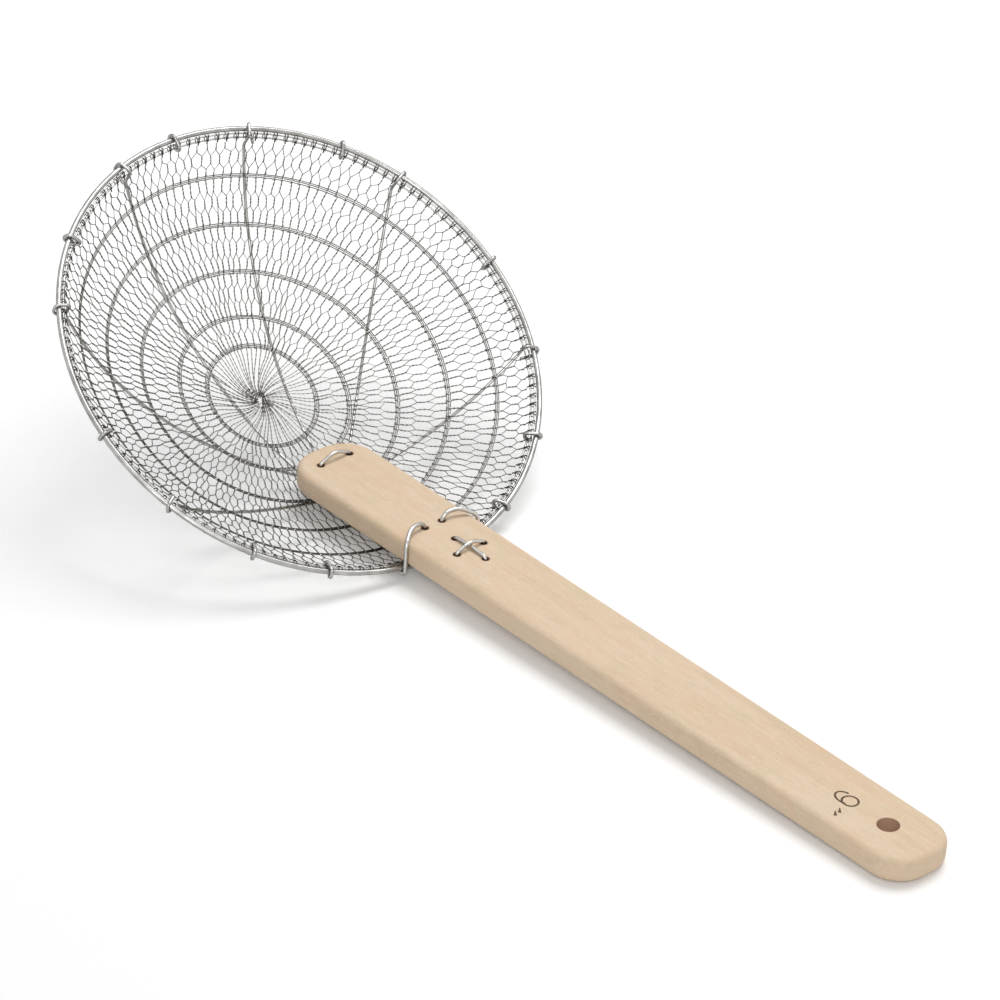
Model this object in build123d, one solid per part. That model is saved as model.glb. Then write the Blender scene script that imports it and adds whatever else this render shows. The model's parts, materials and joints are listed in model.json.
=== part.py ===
from build123d import *
import os
from math import acos, asin, atan, atan2, copysign, cos, degrees, hypot, pi, radians, sin, sqrt

# Spider skimmer: a dished net of thin wire in a round rim, tied with wire to a flat wooden handle.
# Everything is first placed in the bowl's own frame: the centre of the rim wire lies in the plane z = 0
# about the origin, the bowl hangs below that plane, and the handle leaves towards +X. At the end the
# whole part is turned and lowered, so that it lies on its bowl and on the free end of its handle.
# Lengths are in millimetres and angles in degrees.

# Rim and selvedge
rim_outer_diameter = 228.6
rim_wire = 2.4
rim_corner_setback = 5.0
rim_tail_overhang = 6.0
selvedge_wire = 0.8
selvedge_inset = 2.1
selvedge_drop = 0.5
selvedge_gap = 1.0

# Net
bowl_depth = 50.5
net_thickness = 0.8
net_strand_width = 1.0
net_rail_width = 0.9
net_columns = 48
net_sectors = 16
inner_net_sectors = 8
gap_point_share = 0.3
ring_radius_shares = (0.864, 0.706, 0.532, 0.3535, 0.2305)
ring_wire = 0.45
ring_wire_gap = 0.1
ring_wire_count = 3
centre_columns = 24
centre_slant = 22.0
swirl_diameter = 13.0
swirl_thickness = 1.5

# Ribs and clips
rib_wire = 1.4
rib_azimuths = (67.5, 120.6, 159.3, -163.8, -120.0, -66.5)
rib_layers = (0, 0, 0, 0, 1, 0)
rib_way_shares = (
    (0.414, 0.637), (-0.014, 0.49), (-0.214, 0.172), (-0.169, -0.14), (0.009, -0.428), (0.448, -0.378)
)
rib_end_shares = (
    (0.46, 0.14), (0.475, 0.055), (0.52, 0.012), (0.52, -0.028), (0.385, -0.012), (0.505, -0.056)
)
rib_hook_spread = 3.5
rib_stub_drop = 1.6
rib_stub_reach = 0.8
rib_bend_share = 1.3
rib_climb_share = 3.0
rib_over_share = 0.3
rib_under_share = 0.7
aiming_steps = 4
clip_wire = 1.6
clip_skew = 12.0
clip_stub = 3.2
clip_over_share = 0.6
clip_bend_share = 0.93
clip_azimuths = (22.5, 44.5, 92.2, 136.4, 179.3, -28.2, -46.0, -88.0, -139.5)

# Handle. Its width is taken where it lies on the rim.
handle_length = 379.5
handle_width = 38.6
handle_end_width = 36.3
handle_thickness = 11.4
handle_edge_rounding = 3.2
largest_rounding_share = 0.49
tip_corner_share = 0.4145
end_corner_share = 0.4132
tip_clearance = 1.299
hang_hole_diameter = 9.4
hang_hole_inset = 23.9
wire_hole = 3.0

# Wires that tie the handle
tie_wire = 1.6
staple_inset = 12.9
staple_rise = 4.2
staple_band_share = 0.705
staple_gap_share = 0.373
cross_reach = 20.0
cross_half_length = 10.0
cross_half_width = 7.6
cross_low_rise = 1.5
cross_high_rise = 3.7
arch_radius = 7.6
loop_wire = 1.9
loop_hole_spacing = 9.6
loop_rise = 4.2
loop_shoulder_rise = 2.4
loop_foot = 5.0
loop_bend_shares = (1, 2, 5, 2, 1)
wire_bend_share = 1.1

# Clearances
seat = 0.1
clearance = 0.15
joint_gap = 0.4
overrun = 3.0

# Sizes that follow from these
rim_radius = (rim_outer_diameter - rim_wire) / 2
outer_selvedge = (rim_radius - selvedge_inset, -selvedge_drop)
selvedge_step = (selvedge_wire + selvedge_gap) / sqrt(2)
inner_selvedge = (outer_selvedge[0] - selvedge_step, outer_selvedge[1] - selvedge_step)
net_edge_radius = inner_selvedge[0] - clearance
net_edge_drop = -inner_selvedge[1] + selvedge_wire / 2 + clearance + net_thickness / 2
bowl_rise = bowl_depth - net_edge_drop
net_radius = (net_edge_radius ** 2 + bowl_rise ** 2) / (2 * bowl_rise)
net_centre_height = net_radius - bowl_depth
net_outer_radius = net_radius + net_thickness / 2
rib_sphere = net_outer_radius + seat + rib_wire / 2
ring_half_width = (ring_wire_count * ring_wire + (ring_wire_count - 1) * ring_wire_gap) / 2
ring_half_angle = (ring_half_width + clearance) / net_radius
edge_rounding = min(handle_edge_rounding, handle_thickness * largest_rounding_share)


def polar_angle(plan_radius, sphere=None):
    """Angle at the net's centre between straight down and a place at this distance from the axis."""
    return asin(plan_radius / (sphere or net_radius))


def on_bowl(sphere, polar, azimuth):
    """A point on a sphere about the net's centre. Angles in radians."""
    flat = sphere * sin(polar)
    return Vector(flat * cos(azimuth), flat * sin(azimuth), net_centre_height - sphere * cos(polar))


def around_rim(radius, azimuth, height, sideways=0):
    """A point by its distance from the bowl's axis, its azimuth in degrees and its height."""
    out = Vector(1, 0, 0).rotate(Axis.Z, azimuth)
    across = Vector(0, 1, 0).rotate(Axis.Z, azimuth)
    return out * radius + across * sideways + Vector(0, 0, height)


# The staple at the handle's tip goes through the net between the third and the fourth ring, in the
# gap beside the middle one.
column_pitch = 2 * pi / net_columns
ring_radii = [share * rim_radius for share in ring_radius_shares]
staple_net_radius = ring_radii[3] + staple_band_share * (ring_radii[2] - ring_radii[3])
staple_half_gap = column_pitch / 2 - net_strand_width / 2 / staple_net_radius
staple_net_angle = column_pitch + staple_gap_share * staple_half_gap
staple_half_span = staple_net_radius * sin(staple_net_angle)
staple_net_x = staple_net_radius * cos(staple_net_angle)
staple_net_z = net_centre_height - sqrt(net_radius ** 2 - staple_net_radius ** 2)

# Slope of the handle: its underside rests on the rim where the flat of the underside ends, and its
# tip stays clear of the net. Both follow from one triangle in the plane of symmetry. The tip reaches
# a set length past the staple, and the staple's place depends a little on the slope.
flat_half_width = handle_width / 2 - edge_rounding
rim_seat_x = sqrt(rim_radius ** 2 - flat_half_width ** 2)
rim_seat_height = rim_wire / 2 + clearance + seat
tip_centre_lift = rim_seat_height + edge_rounding
tip_sphere = net_radius - net_thickness / 2 - tip_clearance - edge_rounding
seat_to_centre = hypot(rim_seat_x, net_centre_height)
tip_reach = rim_seat_x - staple_net_x + staple_inset
for _ in range(aiming_steps):
    tip_centre_reach = tip_reach - edge_rounding
    seat_to_tip = hypot(tip_centre_reach, tip_centre_lift)
    squares = seat_to_tip ** 2 + seat_to_centre ** 2 - tip_sphere ** 2
    tip_corner = acos(squares / (2 * seat_to_tip * seat_to_centre))
    tip_turn = atan2(tip_centre_lift, tip_centre_reach)
    handle_slope = atan2(net_centre_height, -rim_seat_x) + tip_corner - pi + tip_turn
    staple_along = (staple_net_x - rim_seat_x) * cos(handle_slope) + staple_net_z * sin(handle_slope)
    tip_reach = staple_inset - staple_along
along = Vector(cos(handle_slope), 0, sin(handle_slope))
upward = Vector(-sin(handle_slope), 0, cos(handle_slope))
handle_origin = Vector(rim_seat_x, 0, 0) + upward * rim_seat_height
handle_place = Plane(origin=handle_origin, x_dir=along, z_dir=upward).location


def beside_handle(x, z):
    """Distance along the handle's underside and height above it, of a place in the plane of symmetry."""
    offset = Vector(x, 0, z) - handle_origin
    return offset.dot(along), offset.dot(upward)


def round_wire(path, diameter):
    """A round wire along a path."""
    section = Plane(origin=path @ 0, z_dir=path % 0) * Circle(diameter / 2)
    solid = sweep(section, path=path)
    expected = pi * diameter ** 2 / 4 * path.length
    print(f"  wire {diameter} over {path.length:.1f}: volume {solid.volume / expected:.4f} of expected")
    return solid


def bent_wire(points, radii, diameter):
    """A round wire along straight runs that are joined by arcs."""
    return round_wire(FilletPolyline(*points, radius=radii), diameter)


# Handle

handle_ahead = handle_length - tip_reach
outer_selvedge_along, outer_selvedge_lift = beside_handle(*outer_selvedge)
inner_selvedge_along, inner_selvedge_lift = beside_handle(*inner_selvedge)
rim_along, rim_lift = beside_handle(rim_radius, 0)
loop_along = inner_selvedge_along - selvedge_wire / 2 - clearance - loop_wire / 2
cross_near = cross_reach - cross_half_length
cross_far = cross_reach + cross_half_length
hang_hole_along = handle_ahead - hang_hole_inset


def make_handle():
    """A flat slab that narrows from its tip to its free end, with a hang hole and eight wire holes."""
    half_end = handle_end_width / 2
    half_tip = half_end + (handle_width / 2 - half_end) * handle_length / handle_ahead
    near, far = -tip_reach, handle_ahead
    outline = [(near, -half_tip), (far, -half_end), (far, half_end), (near, half_tip)]
    plan = make_face(Polyline(*outline, close=True))
    corners = plan.vertices().sort_by(Axis.X)
    plan = fillet(corners[:2], handle_width * tip_corner_share)
    corners = plan.vertices().sort_by(Axis.X)
    plan = fillet(corners[-2:], handle_end_width * end_corner_share)
    slab = extrude(plan, handle_thickness)
    rims = slab.faces().sort_by(Axis.Z)[0].edges() + slab.faces().sort_by(Axis.Z)[-1].edges()
    slab = fillet(rims, edge_rounding)
    holes = [
        (staple_along, staple_half_span),
        (staple_along, -staple_half_span),
        (loop_along, loop_hole_spacing / 2),
        (loop_along, -loop_hole_spacing / 2),
        (cross_near, 0),
        (cross_far, 0),
        (cross_reach, cross_half_width),
        (cross_reach, -cross_half_width),
    ]
    drill = Cylinder(wire_hole / 2, handle_thickness + 2 * overrun)
    bore = Cylinder(hang_hole_diameter / 2, handle_thickness + 2 * overrun)
    middle = handle_thickness / 2
    for x, y in holes:
        slab -= Pos(x, y, middle) * drill
    slab -= Pos(hang_hole_along, 0, middle) * bore
    return handle_place * slab


# Rim: one wire bent into a ring, with its two ends laid side by side along the handle's underside.

tail_offset = tie_wire / 2 + 3 * clearance + rim_wire / 2
tail_end_along = cross_far + rim_tail_overhang


def make_rim():
    """The ring and its two tails."""
    corner_x = sqrt(rim_radius ** 2 + rim_corner_setback ** 2 - tail_offset ** 2)
    end_azimuth = degrees(atan2(tail_offset, corner_x) + atan(rim_corner_setback / rim_radius))
    tail_length = tail_end_along - rim_along
    left_corner = Vector(corner_x, tail_offset, 0)
    right_corner = Vector(corner_x, -tail_offset, 0)
    ring_start = around_rim(rim_radius, end_azimuth, 0)
    ring_end = around_rim(rim_radius, -end_azimuth, 0)
    left_tail = left_corner + along * rim_corner_setback
    right_tail = right_corner + along * rim_corner_setback
    path = Wire(
        [
            Line(left_corner + along * tail_length, left_tail).edge(),
            TangentArc(left_tail, ring_start, tangent=along * -1).edge(),
            ThreePointArc(ring_start, Vector(-rim_radius, 0, 0), ring_end).edge(),
            TangentArc(ring_end, right_tail, tangent=right_corner - ring_end).edge(),
            Line(right_tail, right_corner + along * tail_length).edge(),
        ]
    )
    return round_wire(path, rim_wire)


def hoop(radius, height, diameter):
    """One closed ring of round wire about the bowl's axis."""
    return Pos(0, 0, height) * Torus(radius, diameter / 2)


# Net: thin dished bands between the rings, with one six-sided gap in each column

rail_angle = net_rail_width / net_radius
edge_angle = polar_angle(net_edge_radius)
ring_angles = [polar_angle(radius) for radius in ring_radii]


def gap_cutter(low, high, pitch, open_top=False, slant=0):
    """A six-sided prism through the net, centred on azimuth 0. One that is open at the top runs out
    past the net's edge. Angles in radians."""
    point = (high - low) * gap_point_share

    def half_angle(polar):
        return pitch / 2 - net_strand_width / 2 / (net_radius * sin(polar))

    top = high + rail_angle * 2 if open_top else high - point
    corners = [(low, 0), (low + point, half_angle(low + point)), (top, half_angle(top))]
    if not open_top:
        corners.append((high, 0))
    corners += [(top, -half_angle(top)), (low + point, -half_angle(low + point))]
    middle = (low + high) / 2
    normal = on_bowl(1, middle, 0) - Vector(0, 0, net_centre_height)
    centre = Vector(0, 0, net_centre_height)
    outline = []
    for polar, azimuth in corners:
        turned = azimuth + slant * (middle - polar) / (high - low)
        ray = on_bowl(net_radius, polar, turned) - centre
        outline.append(centre + ray * (net_radius / ray.dot(normal)))
    face = Face(Wire.make_polygon(outline, close=True))
    return extrude(face, amount=net_thickness * 2, dir=normal, both=True)


def shell(low, high, sweep_angle):
    """A piece of the dished net without gaps, from one polar angle to another. Angles in radians."""
    half = net_thickness / 2
    inner, outer = net_radius - half, net_radius + half
    middle = (low + high) / 2
    outline = [
        ThreePointArc(on_bowl(inner, low, 0), on_bowl(inner, middle, 0), on_bowl(inner, high, 0)).edge(),
        Line(on_bowl(inner, high, 0), on_bowl(outer, high, 0)).edge(),
        ThreePointArc(on_bowl(outer, high, 0), on_bowl(outer, middle, 0), on_bowl(outer, low, 0)).edge(),
        Line(on_bowl(outer, low, 0), on_bowl(inner, low, 0)).edge(),
    ]
    return revolve(Face(Wire(outline)), Axis.Z, degrees(sweep_angle))


def make_band(low, high, sectors, open_top=False):
    """One band of the net, as equal sectors that meet in the middle of a strand."""
    columns = net_columns // sectors
    sector = Rot(0, 0, degrees(-column_pitch / 2)) * shell(low, high, columns * column_pitch)
    cutter = gap_cutter(low + rail_angle, high - rail_angle, column_pitch, open_top)
    for column in range(columns):
        sector -= Rot(0, 0, degrees(column * column_pitch)) * cutter
    solid = sector.solids()[0]
    return [Rot(0, 0, degrees(turn * columns * column_pitch)) * solid for turn in range(sectors)]


def make_net_centre():
    """The net inside the innermost ring, with slanted gaps round the swirl."""
    hole = polar_angle(swirl_diameter / 2 + clearance)
    high = ring_angles[-1] - ring_half_angle
    disc = shell(hole, high, 2 * pi)
    pitch = 2 * pi / centre_columns
    cutter = gap_cutter(hole + 2 * rail_angle, high - rail_angle, pitch, slant=radians(centre_slant))
    for column in range(centre_columns):
        disc -= Rot(0, 0, degrees(column * pitch)) * cutter
    return disc


def make_swirl():
    """The gathered wires in the middle of the net, as one flat lens."""
    radius = swirl_diameter / 2
    dome = (radius ** 2 + (swirl_thickness / 2) ** 2) / swirl_thickness
    lens = Pos(0, 0, dome - swirl_thickness / 2) * Sphere(dome)
    lens &= Pos(0, 0, swirl_thickness / 2 - dome) * Sphere(dome)
    return Pos(0, 0, -bowl_depth) * lens


def make_ring(polar):
    """Three thin wires side by side in the net's surface."""
    step = (ring_wire + ring_wire_gap) / net_radius
    wires = []
    for index in range(ring_wire_count):
        angle = polar + (index - (ring_wire_count - 1) / 2) * step
        place = on_bowl(net_radius, angle, 0)
        wires.append(hoop(place.X, place.Z, ring_wire))
    return wires


# Ribs: each lies under the net on one arc, comes up inside the selvedge and hooks over the rim. The
# places on the way and at the far end are shares of the rim's radius.

rib_up_radius = inner_selvedge[0] - selvedge_wire / 2 - clearance - rib_wire / 2
rib_bend = rib_wire * rib_bend_share
rib_around_rim = rim_wire / 2 + clearance + rib_wire / 2


def under_net(shares, layer=0):
    """A place of a rib's centre line under the net, given in shares of the rim's radius."""
    sphere = rib_sphere + layer * (rib_wire + 2 * clearance)
    flat = hypot(*shares) * rim_radius
    return on_bowl(sphere, polar_angle(flat, sphere), atan2(shares[1], shares[0]))


def make_rib(azimuth, layer, on_the_way, far_end):
    """One rib, from its far end near the handle's tip to the cut stub of its hook on the rim."""
    side = copysign(1, azimuth)
    goal = azimuth + side * degrees(rib_hook_spread / 2 / rib_up_radius)
    foot_radius = rib_up_radius - rib_climb_share * rib_wire
    start = under_net(far_end, layer)
    middle = under_net(on_the_way, layer / 2)
    foot_azimuth = goal
    for _ in range(aiming_steps):
        foot = on_bowl(rib_sphere, polar_angle(foot_radius, rib_sphere), radians(foot_azimuth))
        arc = ThreePointArc(start, middle, foot).edge()
        direction = arc % 1
        reach = (rib_up_radius - foot_radius) / direction.dot(around_rim(1, foot_azimuth, 0))
        corner = foot + direction * reach
        foot_azimuth += goal - degrees(atan2(corner.Y, corner.X))
    back = -side * rib_hook_spread
    outside = rim_radius + rib_around_rim
    hook = [
        foot,
        corner,
        Vector(corner.X, corner.Y, rib_around_rim),
        around_rim(outside, goal, rib_around_rim, back * rib_over_share),
        around_rim(outside, goal, -rib_around_rim, back * rib_under_share),
        around_rim(rib_up_radius - rib_stub_reach, goal, -rib_around_rim - rib_stub_drop, back),
    ]
    bends = FilletPolyline(*hook, radius=rib_bend)
    return round_wire(Wire([arc] + list(bends.edges())), rib_wire)


# Clips: each is a short wire bent round the rim and the selvedge

selvedge_middle = Vector(
    (outer_selvedge[0] + inner_selvedge[0]) / 2, 0, (outer_selvedge[1] + inner_selvedge[1]) / 2
)
clip_reach = rim_wire / 2 + clearance + clip_wire / 2
clip_line = Vector(rim_radius, 0, 0) - selvedge_middle
clip_out = clip_line.normalized()
clip_up = Vector(-clip_out.Z, 0, clip_out.X)


def make_clip(azimuth):
    """One clip, from its end under the rim, over the rim and the selvedge, to its stub below them."""
    span = clip_line.length
    lane = sin(radians(clip_skew)) * (span + 2 * clip_reach) / 2
    corners = [
        (span, -1, 1),
        (span + clip_reach, -1, 1),
        (span + clip_reach, 1, clip_over_share),
        (-clip_reach, 1, -clip_over_share),
        (-clip_reach, -1, -1),
        (clip_stub - clip_reach, -1, -1),
    ]
    points = []
    for out, up, sideways in corners:
        place = selvedge_middle + clip_out * out + clip_up * (up * clip_reach)
        points.append(around_rim(place.X, azimuth, place.Z, sideways * lane))
    return bent_wire(points, clip_reach * clip_bend_share, clip_wire)


# Wires that tie the handle. These are laid out beside the handle: along it, across it, above its underside.

top = handle_thickness
wire_bend = tie_wire * wire_bend_share
centre_along, centre_lift = beside_handle(0, net_centre_height)
bar_sphere = rib_sphere + rib_wire / 2 + seat + tie_wire / 2
bar_lift = centre_lift - sqrt(bar_sphere ** 2 - (staple_along - centre_along) ** 2)
tail_lift = rim_lift
low_bar_lift = tail_lift - rim_wire / 2 - seat - tie_wire / 2
lowest_bar_lift = low_bar_lift - tie_wire - seat


def make_stitch(start, finish, rise, under):
    """A wire drawn through two holes: a low arch on top of the handle, and a straight bar below it."""
    middle = (start + finish) / 2
    step = (finish - start).normalized()
    shoulder = Vector(0, 0, top + tie_wire / 2)
    below = Vector(0, 0, under)
    points = [
        middle - step * (joint_gap / 2) + below,
        start + below,
        start + shoulder,
        middle + Vector(0, 0, top + rise),
        finish + shoulder,
        finish + below,
        middle + step * (joint_gap / 2) + below,
    ]
    radii = [wire_bend, wire_bend, arch_radius, wire_bend, wire_bend]
    return handle_place * bent_wire(points, radii, tie_wire)


def make_loop(side):
    """One of the two wires that leave a hole in the handle, arch over its edge and hook the rim."""
    y_hole = side * loop_hole_spacing / 2
    y_edge = side * (handle_width / 2 + loop_wire / 2 + clearance * 2)
    rim_x = sqrt(rim_radius ** 2 - y_edge ** 2)
    edge_along, edge_lift = beside_handle(rim_x, 0)
    around = rim_wire / 2 + clearance + loop_wire / 2
    near_foot = rim_lift - around
    far_foot = edge_lift - around
    outside = edge_along + around
    points = [
        (rim_along + rim_wire, y_hole, near_foot),
        (loop_along, y_hole, near_foot),
        (loop_along, y_hole, top + loop_shoulder_rise),
        (loop_along, (y_hole + y_edge) / 2, top + loop_rise),
        (outside, y_edge, top),
        (outside, y_edge, far_foot),
        (outside - loop_foot, y_edge, far_foot),
    ]
    bend = loop_wire * wire_bend_share
    radii = [share * bend for share in loop_bend_shares]
    return handle_place * bent_wire(points, radii, loop_wire)


# The part

nodes = {"handle": make_handle(), "rim": make_rim()}
nodes["outer_selvedge_wire"] = hoop(*outer_selvedge, selvedge_wire)
nodes["inner_selvedge_wire"] = hoop(*inner_selvedge, selvedge_wire)
band_edges = [edge_angle + ring_half_angle] + ring_angles
for index, lower in enumerate(ring_angles):
    upper = band_edges[index]
    sectors = net_sectors if index < 3 else inner_net_sectors
    band = make_band(lower + ring_half_angle, upper - ring_half_angle, sectors, index == 0)
    nodes[f"net_band_{index + 1}"] = band
    nodes[f"net_ring_{index + 1}"] = make_ring(lower)
nodes["net_centre"] = make_net_centre()
nodes["net_centre_knot"] = make_swirl()
routes = zip(rib_azimuths, rib_layers, rib_way_shares, rib_end_shares)
for index, route in enumerate(routes):
    nodes[f"rib_{index + 1}"] = make_rib(*route)
for index, azimuth in enumerate(clip_azimuths):
    nodes[f"rim_clip_{index + 1}"] = make_clip(azimuth)
nodes["tip_staple"] = make_stitch(
    Vector(staple_along, -staple_half_span, 0), Vector(staple_along, staple_half_span, 0), staple_rise,
    bar_lift
)
nodes["lengthwise_stitch"] = make_stitch(
    Vector(cross_near, 0, 0), Vector(cross_far, 0, 0), cross_low_rise, lowest_bar_lift
)
nodes["crosswise_stitch"] = make_stitch(
    Vector(cross_reach, -cross_half_width, 0), Vector(cross_reach, cross_half_width, 0), cross_high_rise,
    low_bar_lift
)
nodes["left_handle_loop"] = make_loop(1)
nodes["right_handle_loop"] = make_loop(-1)

# Rest: the table touches the free end of the handle, and either the net or the wire under the ribs
end_place = handle_origin + along * (handle_ahead - edge_rounding) + upward * edge_rounding
bar_place = handle_origin + along * staple_along + upward * bar_lift
low_rounds = [(Vector(0, 0, net_centre_height), net_outer_radius), (bar_place, tie_wire / 2)]
rest_slope = 0
for centre, radius in low_rounds:
    span = end_place - centre
    slope = atan2(span.Z, span.X) - asin((edge_rounding - radius) / hypot(span.X, span.Z))
    rest_slope = max(rest_slope, slope)
turned = {}
for name, made in nodes.items():
    pieces = made if isinstance(made, list) else [made]
    turned[name] = [Rot(0, degrees(rest_slope), 0) * piece for piece in pieces]
boxes = [piece.bounding_box() for pieces in turned.values() for piece in pieces]
low_x, high_x = min(box.min.X for box in boxes), max(box.max.X for box in boxes)
low_y, high_y = min(box.min.Y for box in boxes), max(box.max.Y for box in boxes)
low_z = min(box.min.Z for box in boxes)
to_floor = Pos(-(low_x + high_x) / 2, -(low_y + high_y) / 2, -low_z)

os.makedirs("parts", exist_ok=True)
for name, pieces in turned.items():
    solids = [solid for piece in pieces for solid in (to_floor * piece).solids()]
    shape = solids[0] if len(solids) == 1 else Compound(children=solids)
    export_step(shape, f"parts/{name}.step")

print(f"handle slope {degrees(handle_slope):.3f}, rest slope {degrees(rest_slope):.3f}")
print(f"net radius {net_radius:.3f}, centre height {net_centre_height:.3f}")
print(f"shift to the floor {to_floor.position}")
print(f"size {high_x - low_x:.2f} x {high_y - low_y:.2f} x {max(box.max.Z for box in boxes) - low_z:.2f}")
hang_place = handle_place * Pos(hang_hole_along, 0, handle_thickness)
mount = to_floor * Rot(0, degrees(rest_slope), 0) * hang_place
print(f"hang hole at {mount.position}, axis {Plane(mount).z_dir}")
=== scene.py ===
import json
import random
from math import cos, pi, radians, sin, sqrt, tau

import bmesh
import bpy
from mathutils import Matrix, Vector, noise


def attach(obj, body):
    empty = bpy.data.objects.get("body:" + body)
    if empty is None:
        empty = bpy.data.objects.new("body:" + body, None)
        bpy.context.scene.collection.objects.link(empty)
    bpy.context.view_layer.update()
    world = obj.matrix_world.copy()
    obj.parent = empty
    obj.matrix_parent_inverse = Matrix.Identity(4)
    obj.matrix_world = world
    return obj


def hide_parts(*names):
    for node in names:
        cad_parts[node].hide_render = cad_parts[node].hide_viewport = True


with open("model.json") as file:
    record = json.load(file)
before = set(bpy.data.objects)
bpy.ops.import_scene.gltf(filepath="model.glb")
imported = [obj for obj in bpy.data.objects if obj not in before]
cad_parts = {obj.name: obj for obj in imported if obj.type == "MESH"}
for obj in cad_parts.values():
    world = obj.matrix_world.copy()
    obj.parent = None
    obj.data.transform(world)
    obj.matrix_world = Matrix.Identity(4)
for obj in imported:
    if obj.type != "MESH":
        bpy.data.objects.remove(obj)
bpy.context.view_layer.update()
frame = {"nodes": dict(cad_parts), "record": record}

# Spider skimmer. The handle, the rim and the bent wires are the CAD nodes with their own finishes. The
# netting is made here: twisted pairs of thin wire with six-sided gaps, wrapped round its rings and round
# the selvedge. Its sizes are in millimetres, and in_bowl() turns them into metres. The floor and the lamps
# are placed in metres.
mm = 0.001

# How the bowl and the handle lie. The bowl's own frame has its origin in the middle of the rim.
bowl_slope = 33.921
bowl_rim_centre = Vector((-145.944, 0.009, 68.342))
handle_slope = 32.602
handle_origin = Vector((111.167, 0.0, 1.222))
handle_thickness = 11.4
hang_hole_along = 271.8
wire_holes = (
    (-70.9, 8.2), (-70.9, -8.2), (-4.3, 4.8), (-4.3, -4.8),
    (10.0, 0.0), (30.0, 0.0), (20.0, 7.6), (20.0, -7.6),
)

# Net. An arc is a distance from its lowest point, measured along the surface.
net_radius = 149.546
net_centre_height = 99.046
net_edge = 109.6
outermost_arc = 121.6
net_wire = 0.4
bead_length = 1.75
points_a_turn = 6
ring_arcs = (106.5, 84.2, 61.9, 40.5, 26.2)
start_inside_ring = 0.9
band_columns = (141, 141, 124, 98, 70)
band_junctions = ((117.6, 111.6), (98.6, 91.4), (77.0, 69.0), (54.8, 47.8), (33.6,))
junction_heights = (2.3, 2.4, 2.3, 2.1, 1.9)

# Unevenness of the net. A junction wanders sideways, and along its strand by wander_along times as much.
# The strands drift sideways in wide and in close waves: swing, radius in the noise, arc of a wave.
wander = 0.3
wander_along = 1.4
drifts = ((2.0, 2.1, 38), (0.75, 15, 6))
middle_shift = -2.4
oval_reach = 1.7
oval_azimuth = 68.0

# Rings. Their wires sway each by itself and all together.
wires_a_ring = 3
ring_wire = 0.42
ring_step = 0.76
ring_reach = ring_step + ring_wire / 2
ring_point_gap = 2
own_sway = 0.12
own_lift = 0.05
common_sway = 0.4

# Ends of the net's wires under a ring
under_ring_aside = 0.3
under_ring_depth = 0.8
under_ring_tail = 0.3

# Ties over the rings. A half turn's points are (beyond the ring, share of the slant, share of the height).
ring_tie = 0.42
tie_slants = (0.5, 0.5, 0.5, 0.35, 0.35)
tie_wander = 0.12
tie_tail = (0.35, 1.3, -0.25)
tie_edge = (0.0, 1.0, 0.55)
tie_top_slant = 0.4

# Selvedge, as distance from the bowl's axis and height under the rim's plane, and the wraps round it
outer_selvedge = (111.0, -0.5)
inner_selvedge = (109.73, -1.77)
selvedge_wire = 0.8
edge_wrap = 0.5
edge_wrap_reach = 1.0
edge_wrap_wander = 0.15
edge_wrap_tail = (0.6, 0.5)

# Strands inside the innermost ring. They turn by their lean, in radians, and end at uneven places.
centre_wire = 0.26
start_inside_last_ring = 0.8
centre_steps = 36
centre_turn_length = 4.2
centre_angle_wander = 0.012
centre_lean = 0.4
centre_lean_wander = 0.07
centre_ends = (1.0, 4.5)
centre_heights = (-0.4, 0.7)
centre_drift = 0.6
centre_oval = 0.2
gathered_shift = (1.0, -0.4)

# Knot in the middle. A fold is the height of its arch and its points in plan.
knot_wire = 0.6
knot_shift = (-1.5, -0.4)
fold_edge = 0.12
knot_folds = (
    (
        1.3, (0, -4.1), (-1.6, -2.4), (-2.5, -0.6), (-2.2, 1.0),
        (-0.9, 1.3), (0.5, 0.5), (2.2, 0.2), (4.6, 2.0),
    ),
    (
        1.3, (0.8, -3.6), (-0.8, -2.2), (-1.6, -0.7), (-1.4, 0.5),
        (-0.4, 0.6), (0.9, -0.2), (2.8, -0.4),
    ),
    (
        1.3, (-1.8, -4.0), (-3.0, -2.6), (-3.4, -0.8), (-3.0, 1.2),
        (-1.6, 2.1), (0.2, 1.6), (2.4, 1.4), (5.0, 3.4),
    ),
    (0.5, (-4.4, -4.4), (-4.9, -2.9), (-4.6, -1.3)),
    (0.5, (-5.9, -5.2), (-6.6, -3.6), (-6.4, -2.0)),
)

tilt = Matrix.Rotation(radians(bowl_slope), 4, "Y")
dice = random.Random(9)


def in_bowl(x, y, z):
    """A place in the bowl's own frame, in millimetres, as a place in the scene."""
    return (tilt @ Vector((x, y, z)) + bowl_rim_centre) * mm


def dished(x, y, lift):
    """A place on the net or at a height above it, by its place in plan."""
    drop = sqrt((net_radius - lift) ** 2 - x * x - y * y)
    return in_bowl(x, y, net_centre_height - drop)


def on_net(arc, azimuth, lift=0.0):
    """A place on the net by its arc, its azimuth and its height above the net. The rings of the net are a
    little oval, and their middle lies a little off the rim's."""
    flat = net_radius * sin(arc / net_radius)
    out = min(1.0, flat / net_edge) ** 2
    flat += oval_reach * 4 * out * (1 - out) * cos(2 * (azimuth - radians(oval_azimuth)))
    return dished(flat * cos(azimuth) + middle_shift * (1 - out * out), flat * sin(azimuth), lift)


def beside_handle(s, y, m):
    """A place along the handle, across it and above its underside, as a place in the scene."""
    slope = radians(handle_slope)
    along = Vector((cos(slope), 0, sin(slope)))
    upward = Vector((-sin(slope), 0, cos(slope)))
    return in_bowl(*(handle_origin + along * s + Vector((0, y, 0)) + upward * m))


def add_object(name, data):
    """A new object in the scene."""
    piece = bpy.data.objects.new(name, data)
    bpy.context.scene.collection.objects.link(piece)
    return piece


# Finishes


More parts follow.
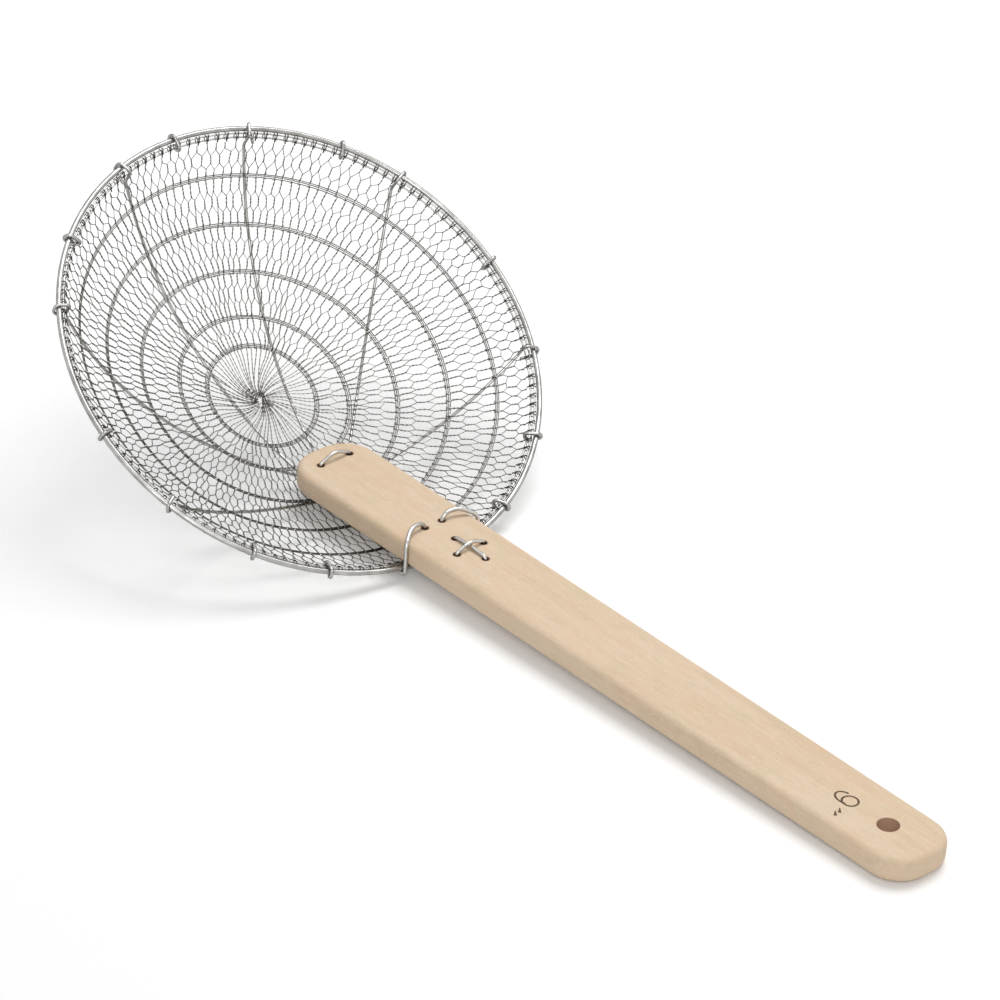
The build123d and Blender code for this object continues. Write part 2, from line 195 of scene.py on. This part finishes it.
def new_material(name):
    """An empty material, its node tree, and the place on the object for its textures."""
    material = bpy.data.materials.new(name)
    material.use_nodes = True
    tree = material.node_tree
    tree.nodes.clear()
    place = add_node(tree, "ShaderNodeTexCoord").outputs["Object"]
    return material, tree, place


def add_node(tree, kind, inputs=(), **settings):
    """One node with its settings and its input values or links."""
    node = tree.nodes.new(kind)
    for key, value in settings.items():
        setattr(node, key, value)
    for key, value in dict(inputs).items():
        if isinstance(value, bpy.types.NodeSocket):
            tree.links.new(value, node.inputs[key])
        else:
            node.inputs[key].default_value = value
    return node


def add_surface(tree, settings):
    """The surface of a material."""
    shader = add_node(tree, "ShaderNodeBsdfPrincipled", settings)
    add_node(tree, "ShaderNodeOutputMaterial", {"Surface": shader.outputs["BSDF"]})


def add_ramp(tree, factor, stops):
    """The colour of a ramp with its stops as (place, colour)."""
    ramp = add_node(tree, "ShaderNodeValToRGB", {"Fac": factor})
    ramp.color_ramp.elements[0].position = stops[0][0]
    ramp.color_ramp.elements[0].color = (*stops[0][1], 1)
    ramp.color_ramp.elements[1].position = stops[-1][0]
    ramp.color_ramp.elements[1].color = (*stops[-1][1], 1)
    for place, colour in stops[1:-1]:
        ramp.color_ramp.elements.new(place).color = (*colour, 1)
    return ramp.outputs["Color"]


def rescaled(tree, value, old, new):
    """A value carried over from one range to another, and held at the ends of the new one."""
    settings = {"Value": value, "From Min": old[0], "From Max": old[1], "To Min": new[0], "To Max": new[1]}
    return add_node(tree, "ShaderNodeMapRange", settings).outputs["Result"]


def even_noise(tree, place, scale, detail):
    """Noise with the same scale along each axis."""
    return add_node(
        tree, "ShaderNodeTexNoise", {"Vector": place, "Scale": scale, "Detail": detail}
    ).outputs["Fac"]


def stretched_noise(tree, place, scale, detail):
    """Noise with its own scale along each axis."""
    stretched = add_node(tree, "ShaderNodeMapping", {"Vector": place, "Scale": scale})
    return even_noise(tree, stretched.outputs["Vector"], 1.0, detail)


def add_bump(tree, height, strength, distance):
    """A surface direction that follows small heights."""
    settings = {"Height": height, "Strength": strength, "Distance": distance}
    return add_node(tree, "ShaderNodeBump", settings).outputs["Normal"]


def blend(tree, kind, share, first, second):
    """Two colours mixed."""
    node = tree.nodes.new("ShaderNodeMix")
    node.data_type = "RGBA"
    node.blend_type = kind
    sockets = [socket for socket in node.inputs if socket.enabled]
    for socket, value in zip(sockets, (share, first, second)):
        if isinstance(value, bpy.types.NodeSocket):
            tree.links.new(value, socket)
        else:
            socket.default_value = value
    return [socket for socket in node.outputs if socket.enabled][0]


def steel_wire(name, dark, light, roughness, blotch_scale, edge):
    """Drawn steel wire: metal with faint blotches of tarnish and fine die lines. Its edge tint darkens the
    wire towards its outline as painted shade. The roughness is that of the dark and of the light blotches."""
    material, tree, place = new_material(name)
    blotch = even_noise(tree, place, blotch_scale, 3.0)
    low, high = 0.3, 0.7
    add_surface(tree, {
        "Base Color": add_ramp(tree, blotch, [(low, dark), (high, light)]),
        "Metallic": 1.0,
        "Roughness": rescaled(tree, blotch, (low, high), roughness),
        "Normal": add_bump(tree, even_noise(tree, place, 2600.0, 1.0), 0.12, 0.0001),
        # Low edge tint: painted shade on the wire's edges, in place of dark surroundings reflected there.
        "Specular Tint": (edge, edge, edge, 1),
    })
    return material


def from_hole(tree, plan, s, y):
    """How far a place is from the upper end of a hole, as seen from above."""
    top = beside_handle(s, y, handle_thickness)
    return add_node(
        tree, "ShaderNodeVectorMath", {0: plan, 1: (top.x, top.y, 0)}, operation="DISTANCE"
    ).outputs["Value"]


def bare_wood(name):
    """Pale sanded hardwood: soft streaks along the handle, fine mottling, dark stains at the wire holes and
    a darker bore in the hang hole."""
    stain_radii = (1.55 * mm, 2.3 * mm)
    bore_radii = (4.8 * mm, 5.2 * mm)
    material, tree, place = new_material(name)
    streaks = stretched_noise(tree, place, (9.0, 120.0, 120.0), 4.0)
    grain = stretched_noise(tree, place, (90.0, 1100.0, 1100.0), 3.0)
    flecks = stretched_noise(tree, place, (700.0, 1100.0, 1100.0), 2.0)
    patches = stretched_noise(tree, place, (75.0, 120.0, 120.0), 4.0)
    base = add_ramp(
        tree, streaks,
        [(0.3, (0.71, 0.54, 0.375)), (0.5, (0.745, 0.58, 0.415)), (0.7, (0.76, 0.605, 0.45))],
    )
    fine = add_ramp(tree, grain, [(0.34, (0.945, 0.935, 0.92)), (0.60, (1.0, 1.0, 1.0))])
    tints = add_ramp(
        tree, patches,
        [(0.36, (0.955, 0.965, 0.94)), (0.5, (1.0, 1.0, 1.0)), (0.64, (1.0, 0.965, 0.945))],
    )
    fleck_mask = add_ramp(tree, flecks, [(0.58, (0, 0, 0)), (0.72, (0.6, 0.6, 0.6))])
    colour = blend(tree, "MULTIPLY", 1.0, base, fine)
    colour = blend(tree, "MULTIPLY", 1.0, colour, tints)
    colour = blend(tree, "MIX", fleck_mask, colour, (0.80, 0.69, 0.54, 1))
    plan = add_node(
        tree, "ShaderNodeVectorMath", {0: place, 1: (1, 1, 0)}, operation="MULTIPLY"
    ).outputs["Vector"]
    nearest = from_hole(tree, plan, *wire_holes[0])
    for s, y in wire_holes[1:]:
        both = {0: nearest, 1: from_hole(tree, plan, s, y)}
        nearest = add_node(tree, "ShaderNodeMath", both, operation="MINIMUM").outputs["Value"]
    stain = rescaled(tree, nearest, stain_radii, (1.0, 0.0))
    colour = blend(tree, "MIX", stain, colour, (0.10, 0.045, 0.022, 1))
    bore = rescaled(tree, from_hole(tree, plan, hang_hole_along, 0), bore_radii, (1.0, 0.0))
    colour = blend(tree, "MIX", bore, colour, (0.60, 0.41, 0.29, 1))
    add_surface(tree, {
        "Base Color": colour,
        "Roughness": 0.62,
        "Normal": add_bump(tree, grain, 0.2, 0.0002),
        "Specular IOR Level": 0.3,
    })
    return material


def burnt_wood(name):
    """The dark brown of a mark pressed into the wood with a hot stamp."""
    material, tree, place = new_material(name)
    patches = even_noise(tree, place, 900.0, 3.0)
    colour = add_ramp(tree, patches, [(0.3, (0.055, 0.032, 0.018)), (0.7, (0.16, 0.095, 0.055))])
    add_surface(tree, {"Base Color": colour, "Roughness": 0.8})
    return material


wood = bare_wood("pale wood")
burnt = burnt_wood("burnt mark")
bright = steel_wire(
    "bright drawn wire", (0.30, 0.295, 0.285), (0.50, 0.495, 0.48), (0.32, 0.2), 160.0, 0.3
)
thin = steel_wire("thin net wire", (0.075, 0.069, 0.061), (0.36, 0.345, 0.32), (0.36, 0.22), 700.0, 0.35)
# Ring wires, the wraps round the selvedge and the knot: the net wire's steel drawn much darker, as painted
# shade.
painted_shade_wire = steel_wire("wire with painted shade", (0.035, 0.033, 0.029), (0.16, 0.152, 0.14), (0.38, 0.24), 500.0, 0.25)
# The ties over the rings are the net wire's steel, drawn much lighter here as painted highlight.
painted_highlight_wire = steel_wire(
    "tie wire with painted highlight", (0.34, 0.33, 0.31), (0.85, 0.84, 0.81), (0.38, 0.22), 700.0, 0.6
)
soft = steel_wire("soft tie wire", (0.44, 0.43, 0.41), (0.62, 0.61, 0.59), (0.3, 0.2), 120.0, 0.4)


# Wires


def round_curve(name, diameter, sides):
    """A curve that is drawn as a round wire with closed ends."""
    curve = bpy.data.curves.new(name, "CURVE")
    curve.dimensions = "3D"
    curve.bevel_depth = diameter / 2 * mm
    curve.bevel_resolution = sides
    curve.use_fill_caps = True
    return curve


def add_path(curve, places, closed=False):
    """One row of points that the wire follows."""
    spline = curve.splines.new("POLY")
    spline.points.add(len(places) - 1)
    for point, place in zip(spline.points, places):
        point.co = (*place, 1)
    spline.use_cyclic_u = closed
    return spline


def lay_wires(name, paths, diameter, material, replaced=(), closed=False, sides=0):
    """One piece of the net, made of many round wires that follow a row of points each."""
    curve = round_curve(name, diameter, sides)
    for path in paths:
        add_path(curve, path, closed)
    piece = add_object(name, curve)
    piece.data.materials.append(material)
    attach(piece, "root")
    if replaced:
        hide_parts(*replaced)


def noise_round(radius, azimuth, height):
    """Smooth noise that comes back to its start after a full turn."""
    return noise.noise(Vector((radius * cos(azimuth), radius * sin(azimuth), height)))


def drift(arc, azimuth):
    """How far the strands lean sideways at a place on the net, in millimetres."""
    return sum(swing * noise_round(radius, azimuth, arc / wave) for swing, radius, wave in drifts)


def strand_place(arc, column_angle, sideways, lift):
    """A place beside the middle of a strand."""
    flat = net_radius * sin(arc / net_radius)
    return on_net(arc, column_angle + (sideways + drift(arc, column_angle)) / flat, lift)


def twisted(start, end, angle, entry):
    """One wire of a twisted pair, from one arc to another. It comes in on one side and leaves on the
    other."""
    half_turns = max(1, round((start - end) / bead_length / 2 - 0.5) * 2 + 1)
    steps = max(3, round(half_turns / 2 * points_a_turn))
    points = []
    for step in range(steps + 1):
        share = step / steps
        turn = entry + pi * half_turns * share
        sideways = net_wire / 2 * cos(turn)
        lift = net_wire / 2 * sin(turn)
        points.append(strand_place(start + (end - start) * share, angle, sideways, lift))
    return points


def under_ring(ring_arc, angle, heading):
    """A net wire's end, laid slantwise under the three wires of a ring."""
    aside = under_ring_aside * heading
    lift = -(ring_wire + net_wire) / 2 * under_ring_depth
    return [
        strand_place(ring_arc + ring_reach, angle, -aside, lift),
        strand_place(ring_arc - ring_reach, angle, aside, lift),
        strand_place(ring_arc - ring_reach - under_ring_tail, angle, aside, 0),
    ]


def band_wires(band):
    """Every wire of one band of the net."""
    columns = band_columns[band]
    pitch = tau / columns
    top = ring_arcs[band - 1] - start_inside_ring if band else outermost_arc
    low = ring_arcs[band] + ring_reach
    middle_radius = net_radius * sin((top + low) / 2 / net_radius)
    junctions = band_junctions[band]
    half_height = junction_heights[band] / 2
    nudges = {}
    for row in range(len(junctions) + 1):
        for half_column in range(2 * columns):
            nudges[row, half_column] = [dice.gauss(0, wander) for _ in range(3)]
    paths = []
    for column in range(columns):
        for heading in (1, -1):
            entry = pi if heading > 0 else 0
            points = []
            for row in range(len(junctions) + 1):
                half_column = (2 * column + heading * row) % (2 * columns)
                aside, above, below = nudges[row, half_column]
                angle = half_column * pitch / 2 + aside / middle_radius
                start, end = top, low
                if row > 0:
                    start = junctions[row - 1] - half_height + above * wander_along
                if row < len(junctions):
                    end = junctions[row] + half_height + below * wander_along
                points += twisted(start, end, angle, entry)
            points += under_ring(ring_arcs[band], angle, heading)
            paths.append(points)
    return paths


def ring_ties(band):
    """The slanting turns of net wire over the three wires of a ring, one at each strand."""
    columns = band_columns[band]
    over = (ring_wire + ring_tie) / 2
    half_turn = [
        (ring_reach + tie_tail[0], *tie_tail[1:]),
        (ring_reach + tie_edge[0], *tie_edge[1:]),
        (ring_step / 2, tie_top_slant, 1.0),
    ]
    turn = [(out, -aside, up) for out, aside, up in half_turn]
    turn += [(-out, aside, up) for out, aside, up in reversed(half_turn)]
    paths = []
    for column in range(columns):
        angle = column * tau / columns
        lean = tie_slants[band] + dice.gauss(0, tie_wander)
        path = []
        for out, aside, up in turn:
            path.append(strand_place(ring_arcs[band] + out, angle, lean * aside, over * up))
        paths.append(path)
    return paths


def selvedge_wraps():
    """The turns of net wire round both selvedge wires, two at each strand, leaning to either side."""
    around = (selvedge_wire + edge_wrap) / 2
    slant = around / sqrt(2)
    out_r, out_z = outer_selvedge
    in_r, in_z = inner_selvedge
    tail_r, tail_z = edge_wrap_tail
    # Distance from the bowl's axis, height, and share of the lean
    turn = [
        (in_r - slant, in_z - slant, 0.9),
        (in_r + slant, in_z - slant, 0.9),
        (out_r + slant, out_z - slant, 0.8),
        (out_r + slant, out_z + slant, 0.7),
        (out_r - slant, out_z + slant, 0.6),
        (in_r - slant, in_z + slant, 0.25),
        (in_r - around, in_z - around * 0.6, 0.1),
        (in_r - around - tail_r, in_z - around - tail_z, 0.1),
    ]
    paths = []
    for column in range(band_columns[0]):
        angle = column * tau / band_columns[0]
        for heading in (1, -1):
            reach = edge_wrap_reach + dice.gauss(0, edge_wrap_wander)
            points = []
            for flat, height, aside in turn:
                azimuth = angle + (reach * aside * -heading + drift(outermost_arc, angle)) / flat
                points.append(in_bowl(flat * cos(azimuth), flat * sin(azimuth), height))
            paths.append(points)
    return paths


def ring_paths(arc):
    """The parallel wires of one ring, a little uneven as they pass over and under the strands."""
    steps = round(tau * net_radius * sin(arc / net_radius) / ring_point_gap)
    paths = []
    for index in range(wires_a_ring):
        first_offset = (index - (wires_a_ring - 1) / 2) * ring_step
        path = []
        for step in range(steps):
            azimuth = tau * step / steps
            own = noise_round(3, azimuth, arc + 7 * index)
            common = noise_round(2, azimuth, arc / 3)
            offset = first_offset + own_sway * own + common_sway * common
            path.append(on_net(arc + offset, azimuth, own_lift * own))
        paths.append(path)
    return paths


def centre_wires():
    """The strands inside the innermost ring: twisted pairs that run in to the middle and are gathered
    there."""
    columns = band_columns[-1]
    start = ring_arcs[-1] - start_inside_last_ring
    paths = []
    for column in range(columns):
        angle = column * tau / columns + dice.gauss(0, centre_angle_wander)
        inner = dice.uniform(*centre_ends)
        height = dice.uniform(*centre_heights)
        lean = dice.gauss(centre_lean, centre_lean_wander)
        for side in (0, 1):
            path = []
            for step in range(centre_steps + 1):
                share = step / centre_steps
                flat = start + (inner - start) * share
                sideways_drift = drift(flat, angle) * centre_drift * (1 - share)
                azimuth = angle + lean * share ** 2 + sideways_drift / start
                phase = pi * side + tau * share * (start - inner) / centre_turn_length
                sideways = centre_wire / 2 * cos(phase)
                lift = centre_wire / 2 * sin(phase) + height * share ** 3
                spread = oval_reach * centre_oval * (1 - share)
                x = (flat + spread) * cos(azimuth) - sideways * sin(azimuth)
                y = flat * sin(azimuth) + sideways * cos(azimuth)
                x += middle_shift + gathered_shift[0] * share
                y += gathered_shift[1] * share
                path.append(dished(x, y, lift))
            paths.append(path)
    return paths


def knot_paths():
    """The gathered ends in the middle of the net, folded over into a small bent tuft."""
    paths = []
    for height, *fold in knot_folds:
        path = []
        for count, (x, y) in enumerate(fold):
            share = count / (len(fold) - 1)
            lift = height * sin(pi * (fold_edge + (1 - 2 * fold_edge) * share))
            path.append(dished(x + knot_shift[0], y + knot_shift[1], lift))
        paths.append(path)
    return paths


for band, arc in enumerate(ring_arcs):
    number = band + 1
    lay_wires(f"net_strands_{number}", band_wires(band), net_wire, thin, [f"net_band_{number}"])
    # Ring wires in the darker copy of the net wire's steel: painted shade.
    lay_wires(
        f"net_ring_wires_{number}", ring_paths(arc), ring_wire, painted_shade_wire,
        [f"net_ring_{number}"], closed=True, sides=1,
    )
    # Ties in the lighter copy of the net wire's steel: painted highlight.
    lay_wires(f"net_ring_ties_{number}", ring_ties(band), ring_tie, painted_highlight_wire)
# The selvedge wraps and the knot take the same darker wire: painted shade.
lay_wires("net_edge_wraps", selvedge_wraps(), edge_wrap, painted_shade_wire)
lay_wires("net_centre_wires", centre_wires(), centre_wire, thin, ["net_centre"])
lay_wires("net_knot", knot_paths(), knot_wire, painted_shade_wire, ["net_centre_knot"], sides=1)


# Finishes on the CAD nodes

finish_of_slot = {"handle_wood": wood, "bright_wire": bright, "net_wire": thin, "tie_wire": soft}
for subpart in frame["record"]["subparts"]:
    node = frame["nodes"][subpart["node"]]
    for slot in node.material_slots:
        slot.material = finish_of_slot[subpart["material_slot"]]


# Size mark: a nine and two ticks for inches, burnt into the wood near the free end. Its own sizes are
# across the mark and up it, and it stands with its top towards the hang hole.

mark_along = 250.0
mark_height = 0.05
mark_stroke = 0.95
figure_middle = 0.7
figure_half_width = 3.3
head_up = 1.2
head_half_height = 3.5
tail_up = -1.5
tail_half_height = 4.9
tail_angles = (35, -165)
oval_steps = 24
tick_starts = ((7.2, 1.8), (9.9, 2.1))
tick_length = 3.3
tick_lean = 44
tick_swell = (0.4, 1.6)


def oval_points(up, half_height, first, last):
    """Points round an oval part of the figure, from one angle to another in degrees."""
    points = []
    for step in range(oval_steps + 1):
        angle = radians(first + (last - first) * step / oval_steps)
        right = figure_middle + figure_half_width * cos(angle)
        points.append((right, up + half_height * sin(angle), 1.0))
    return points


def tick_points(start):
    """A short stroke that widens as it goes up."""
    lean = radians(tick_lean)
    end = (start[0] + tick_length * cos(lean), start[1] + tick_length * sin(lean))
    return [(*start, tick_swell[0]), (*end, tick_swell[1])]


def press_mark(name, strokes):
    """A thin dark mark on top of the handle, made of round strokes that are pressed nearly flat. A stroke's
    points are (to the right, up, swell)."""
    curve = round_curve(name, mark_stroke, sides=3)
    for stroke in strokes:
        places = [beside_handle(mark_along + up, -right, handle_thickness) for right, up, swell in stroke]
        spline = add_path(curve, places)
        for point, (right, up, swell) in zip(spline.points, stroke):
            point.radius = swell
    rough = add_object(name + "_path", curve)
    bpy.context.view_layer.update()
    mesh = bpy.data.meshes.new_from_object(rough.evaluated_get(bpy.context.evaluated_depsgraph_get()))
    bpy.data.objects.remove(rough)
    base = beside_handle(0, 0, handle_thickness)
    upward = (beside_handle(0, 0, handle_thickness + 1) - base).normalized()
    for vertex in mesh.vertices:
        above = (vertex.co - base).dot(upward)
        vertex.co -= upward * above * (1 - 2 * mark_height / mark_stroke)
    piece = add_object(name, mesh)
    piece.data.materials.clear()
    piece.data.materials.append(burnt)
    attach(piece, "root")


head = oval_points(head_up, head_half_height, 0, 360)
tail = oval_points(tail_up, tail_half_height, *tail_angles)
press_mark("size_mark", [head, tail])
press_mark("inch_mark", [tick_points(start) for start in tick_starts])


# Floor, light and camera. Away from the camera the floor glows more, as the lamps are weaker there.

floor_half = 6.0
floor_height = -0.0001
floor_back = (-0.74, 0.67, 0)
glow_places = (-0.35, 1.2)
glow_strengths = (0.07, 0.27)
fill_strength = 0.38
lamp_target = Vector((0, 0, 0.03))


def flat_sheet(name, half, height):
    """A large level sheet."""
    sheet = bmesh.new()
    bmesh.ops.create_grid(sheet, x_segments=1, y_segments=1, size=half)
    bmesh.ops.translate(sheet, verts=sheet.verts, vec=(0, 0, height))
    mesh = bpy.data.meshes.new(name)
    sheet.to_mesh(mesh)
    sheet.free()
    return add_object(name, mesh)


def seen_directly(tree):
    """One for a ray from the camera, a mirror-like reflection or a pane, and nothing for diffuse light."""
    ray = add_node(tree, "ShaderNodeLightPath").outputs
    share = ray["Is Camera Ray"]
    for other in ("Is Glossy Ray", "Is Transmission Ray"):
        share = add_node(
            tree, "ShaderNodeMath", {0: share, 1: ray[other]}, operation="MAXIMUM"
        ).outputs["Value"]
    return share


def white_floor():
    """Matt white paper, with a glow that only direct views of it show."""
    material, tree, place = new_material("white paper")
    diffuse = add_node(tree, "ShaderNodeBsdfDiffuse", {"Color": (0.93, 0.93, 0.928, 1)}).outputs["BSDF"]
    back = add_node(
        tree, "ShaderNodeVectorMath", {0: place, 1: floor_back}, operation="DOT_PRODUCT"
    ).outputs["Value"]
    glow = rescaled(tree, back, glow_places, glow_strengths)
    lit = add_node(tree, "ShaderNodeEmission", {"Color": (1, 1, 1, 1), "Strength": glow}).outputs["Emission"]
    both = add_node(tree, "ShaderNodeAddShader", {0: diffuse, 1: lit}).outputs["Shader"]
    mix = add_node(tree, "ShaderNodeMixShader", {"Fac": seen_directly(tree), 1: diffuse, 2: both})
    add_node(tree, "ShaderNodeOutputMaterial", {"Surface": mix.outputs["Shader"]})
    return material


def white_studio():
    """White surroundings that shine more weakly on the skimmer than they look."""
    world = bpy.data.worlds.new("studio")
    world.use_nodes = True
    tree = world.node_tree
    tree.nodes.clear()
    white = {"Color": (1, 1, 1, 1)}
    backdrop = add_node(tree, "ShaderNodeBackground", white | {"Strength": 1.0}).outputs["Background"]
    fill = add_node(tree, "ShaderNodeBackground", white | {"Strength": fill_strength}).outputs["Background"]
    mix = add_node(tree, "ShaderNodeMixShader", {"Fac": seen_directly(tree), 1: fill, 2: backdrop})
    add_node(tree, "ShaderNodeOutputWorld", {"Surface": mix.outputs["Shader"]})
    return world


def soft_box(name, place, size, power):
    """A square studio lamp aimed at the middle of the skimmer."""
    lamp = bpy.data.lights.new(name, "AREA")
    lamp.shape = "SQUARE"
    lamp.size = size
    lamp.energy = power
    stand = add_object(name, lamp)
    stand.location = place
    stand.rotation_euler = (lamp_target - Vector(place)).to_track_quat("-Z", "Y").to_euler()


floor = flat_sheet("floor", floor_half, floor_height)
floor.data.materials.append(white_floor())
bpy.context.scene.world = white_studio()
soft_box("front_lamp", place=(1.25, -1.05, 1.30), size=0.9, power=10)
soft_box("top_lamp", place=(-0.2, 0.75, 2.0), size=1.2, power=27)

# The camera stands in the bowl's own frame, as it was found from the round rim in the photograph
camera_place = (561.9, -1109.8, 1569.9)
to_right = Vector((0.533, 0.749, 0.3936)).normalized()
to_back = Vector((0.2303, -0.5761, 0.7843)).normalized()
to_top = to_back.cross(to_right).normalized()
to_right = to_top.cross(to_back)
turn = Matrix((to_right, to_top, to_back)).transposed().to_4x4()
view = bpy.data.cameras.new("camera")
view.sensor_width = 36
view.sensor_fit = "HORIZONTAL"
view.lens = 163.72
view.clip_end = 50
camera = add_object("camera", view)
camera.matrix_world = Matrix.Translation(in_bowl(*camera_place)) @ tilt @ turn
bpy.context.scene.camera = camera
bpy.context.scene.view_settings.view_transform = "Standard"
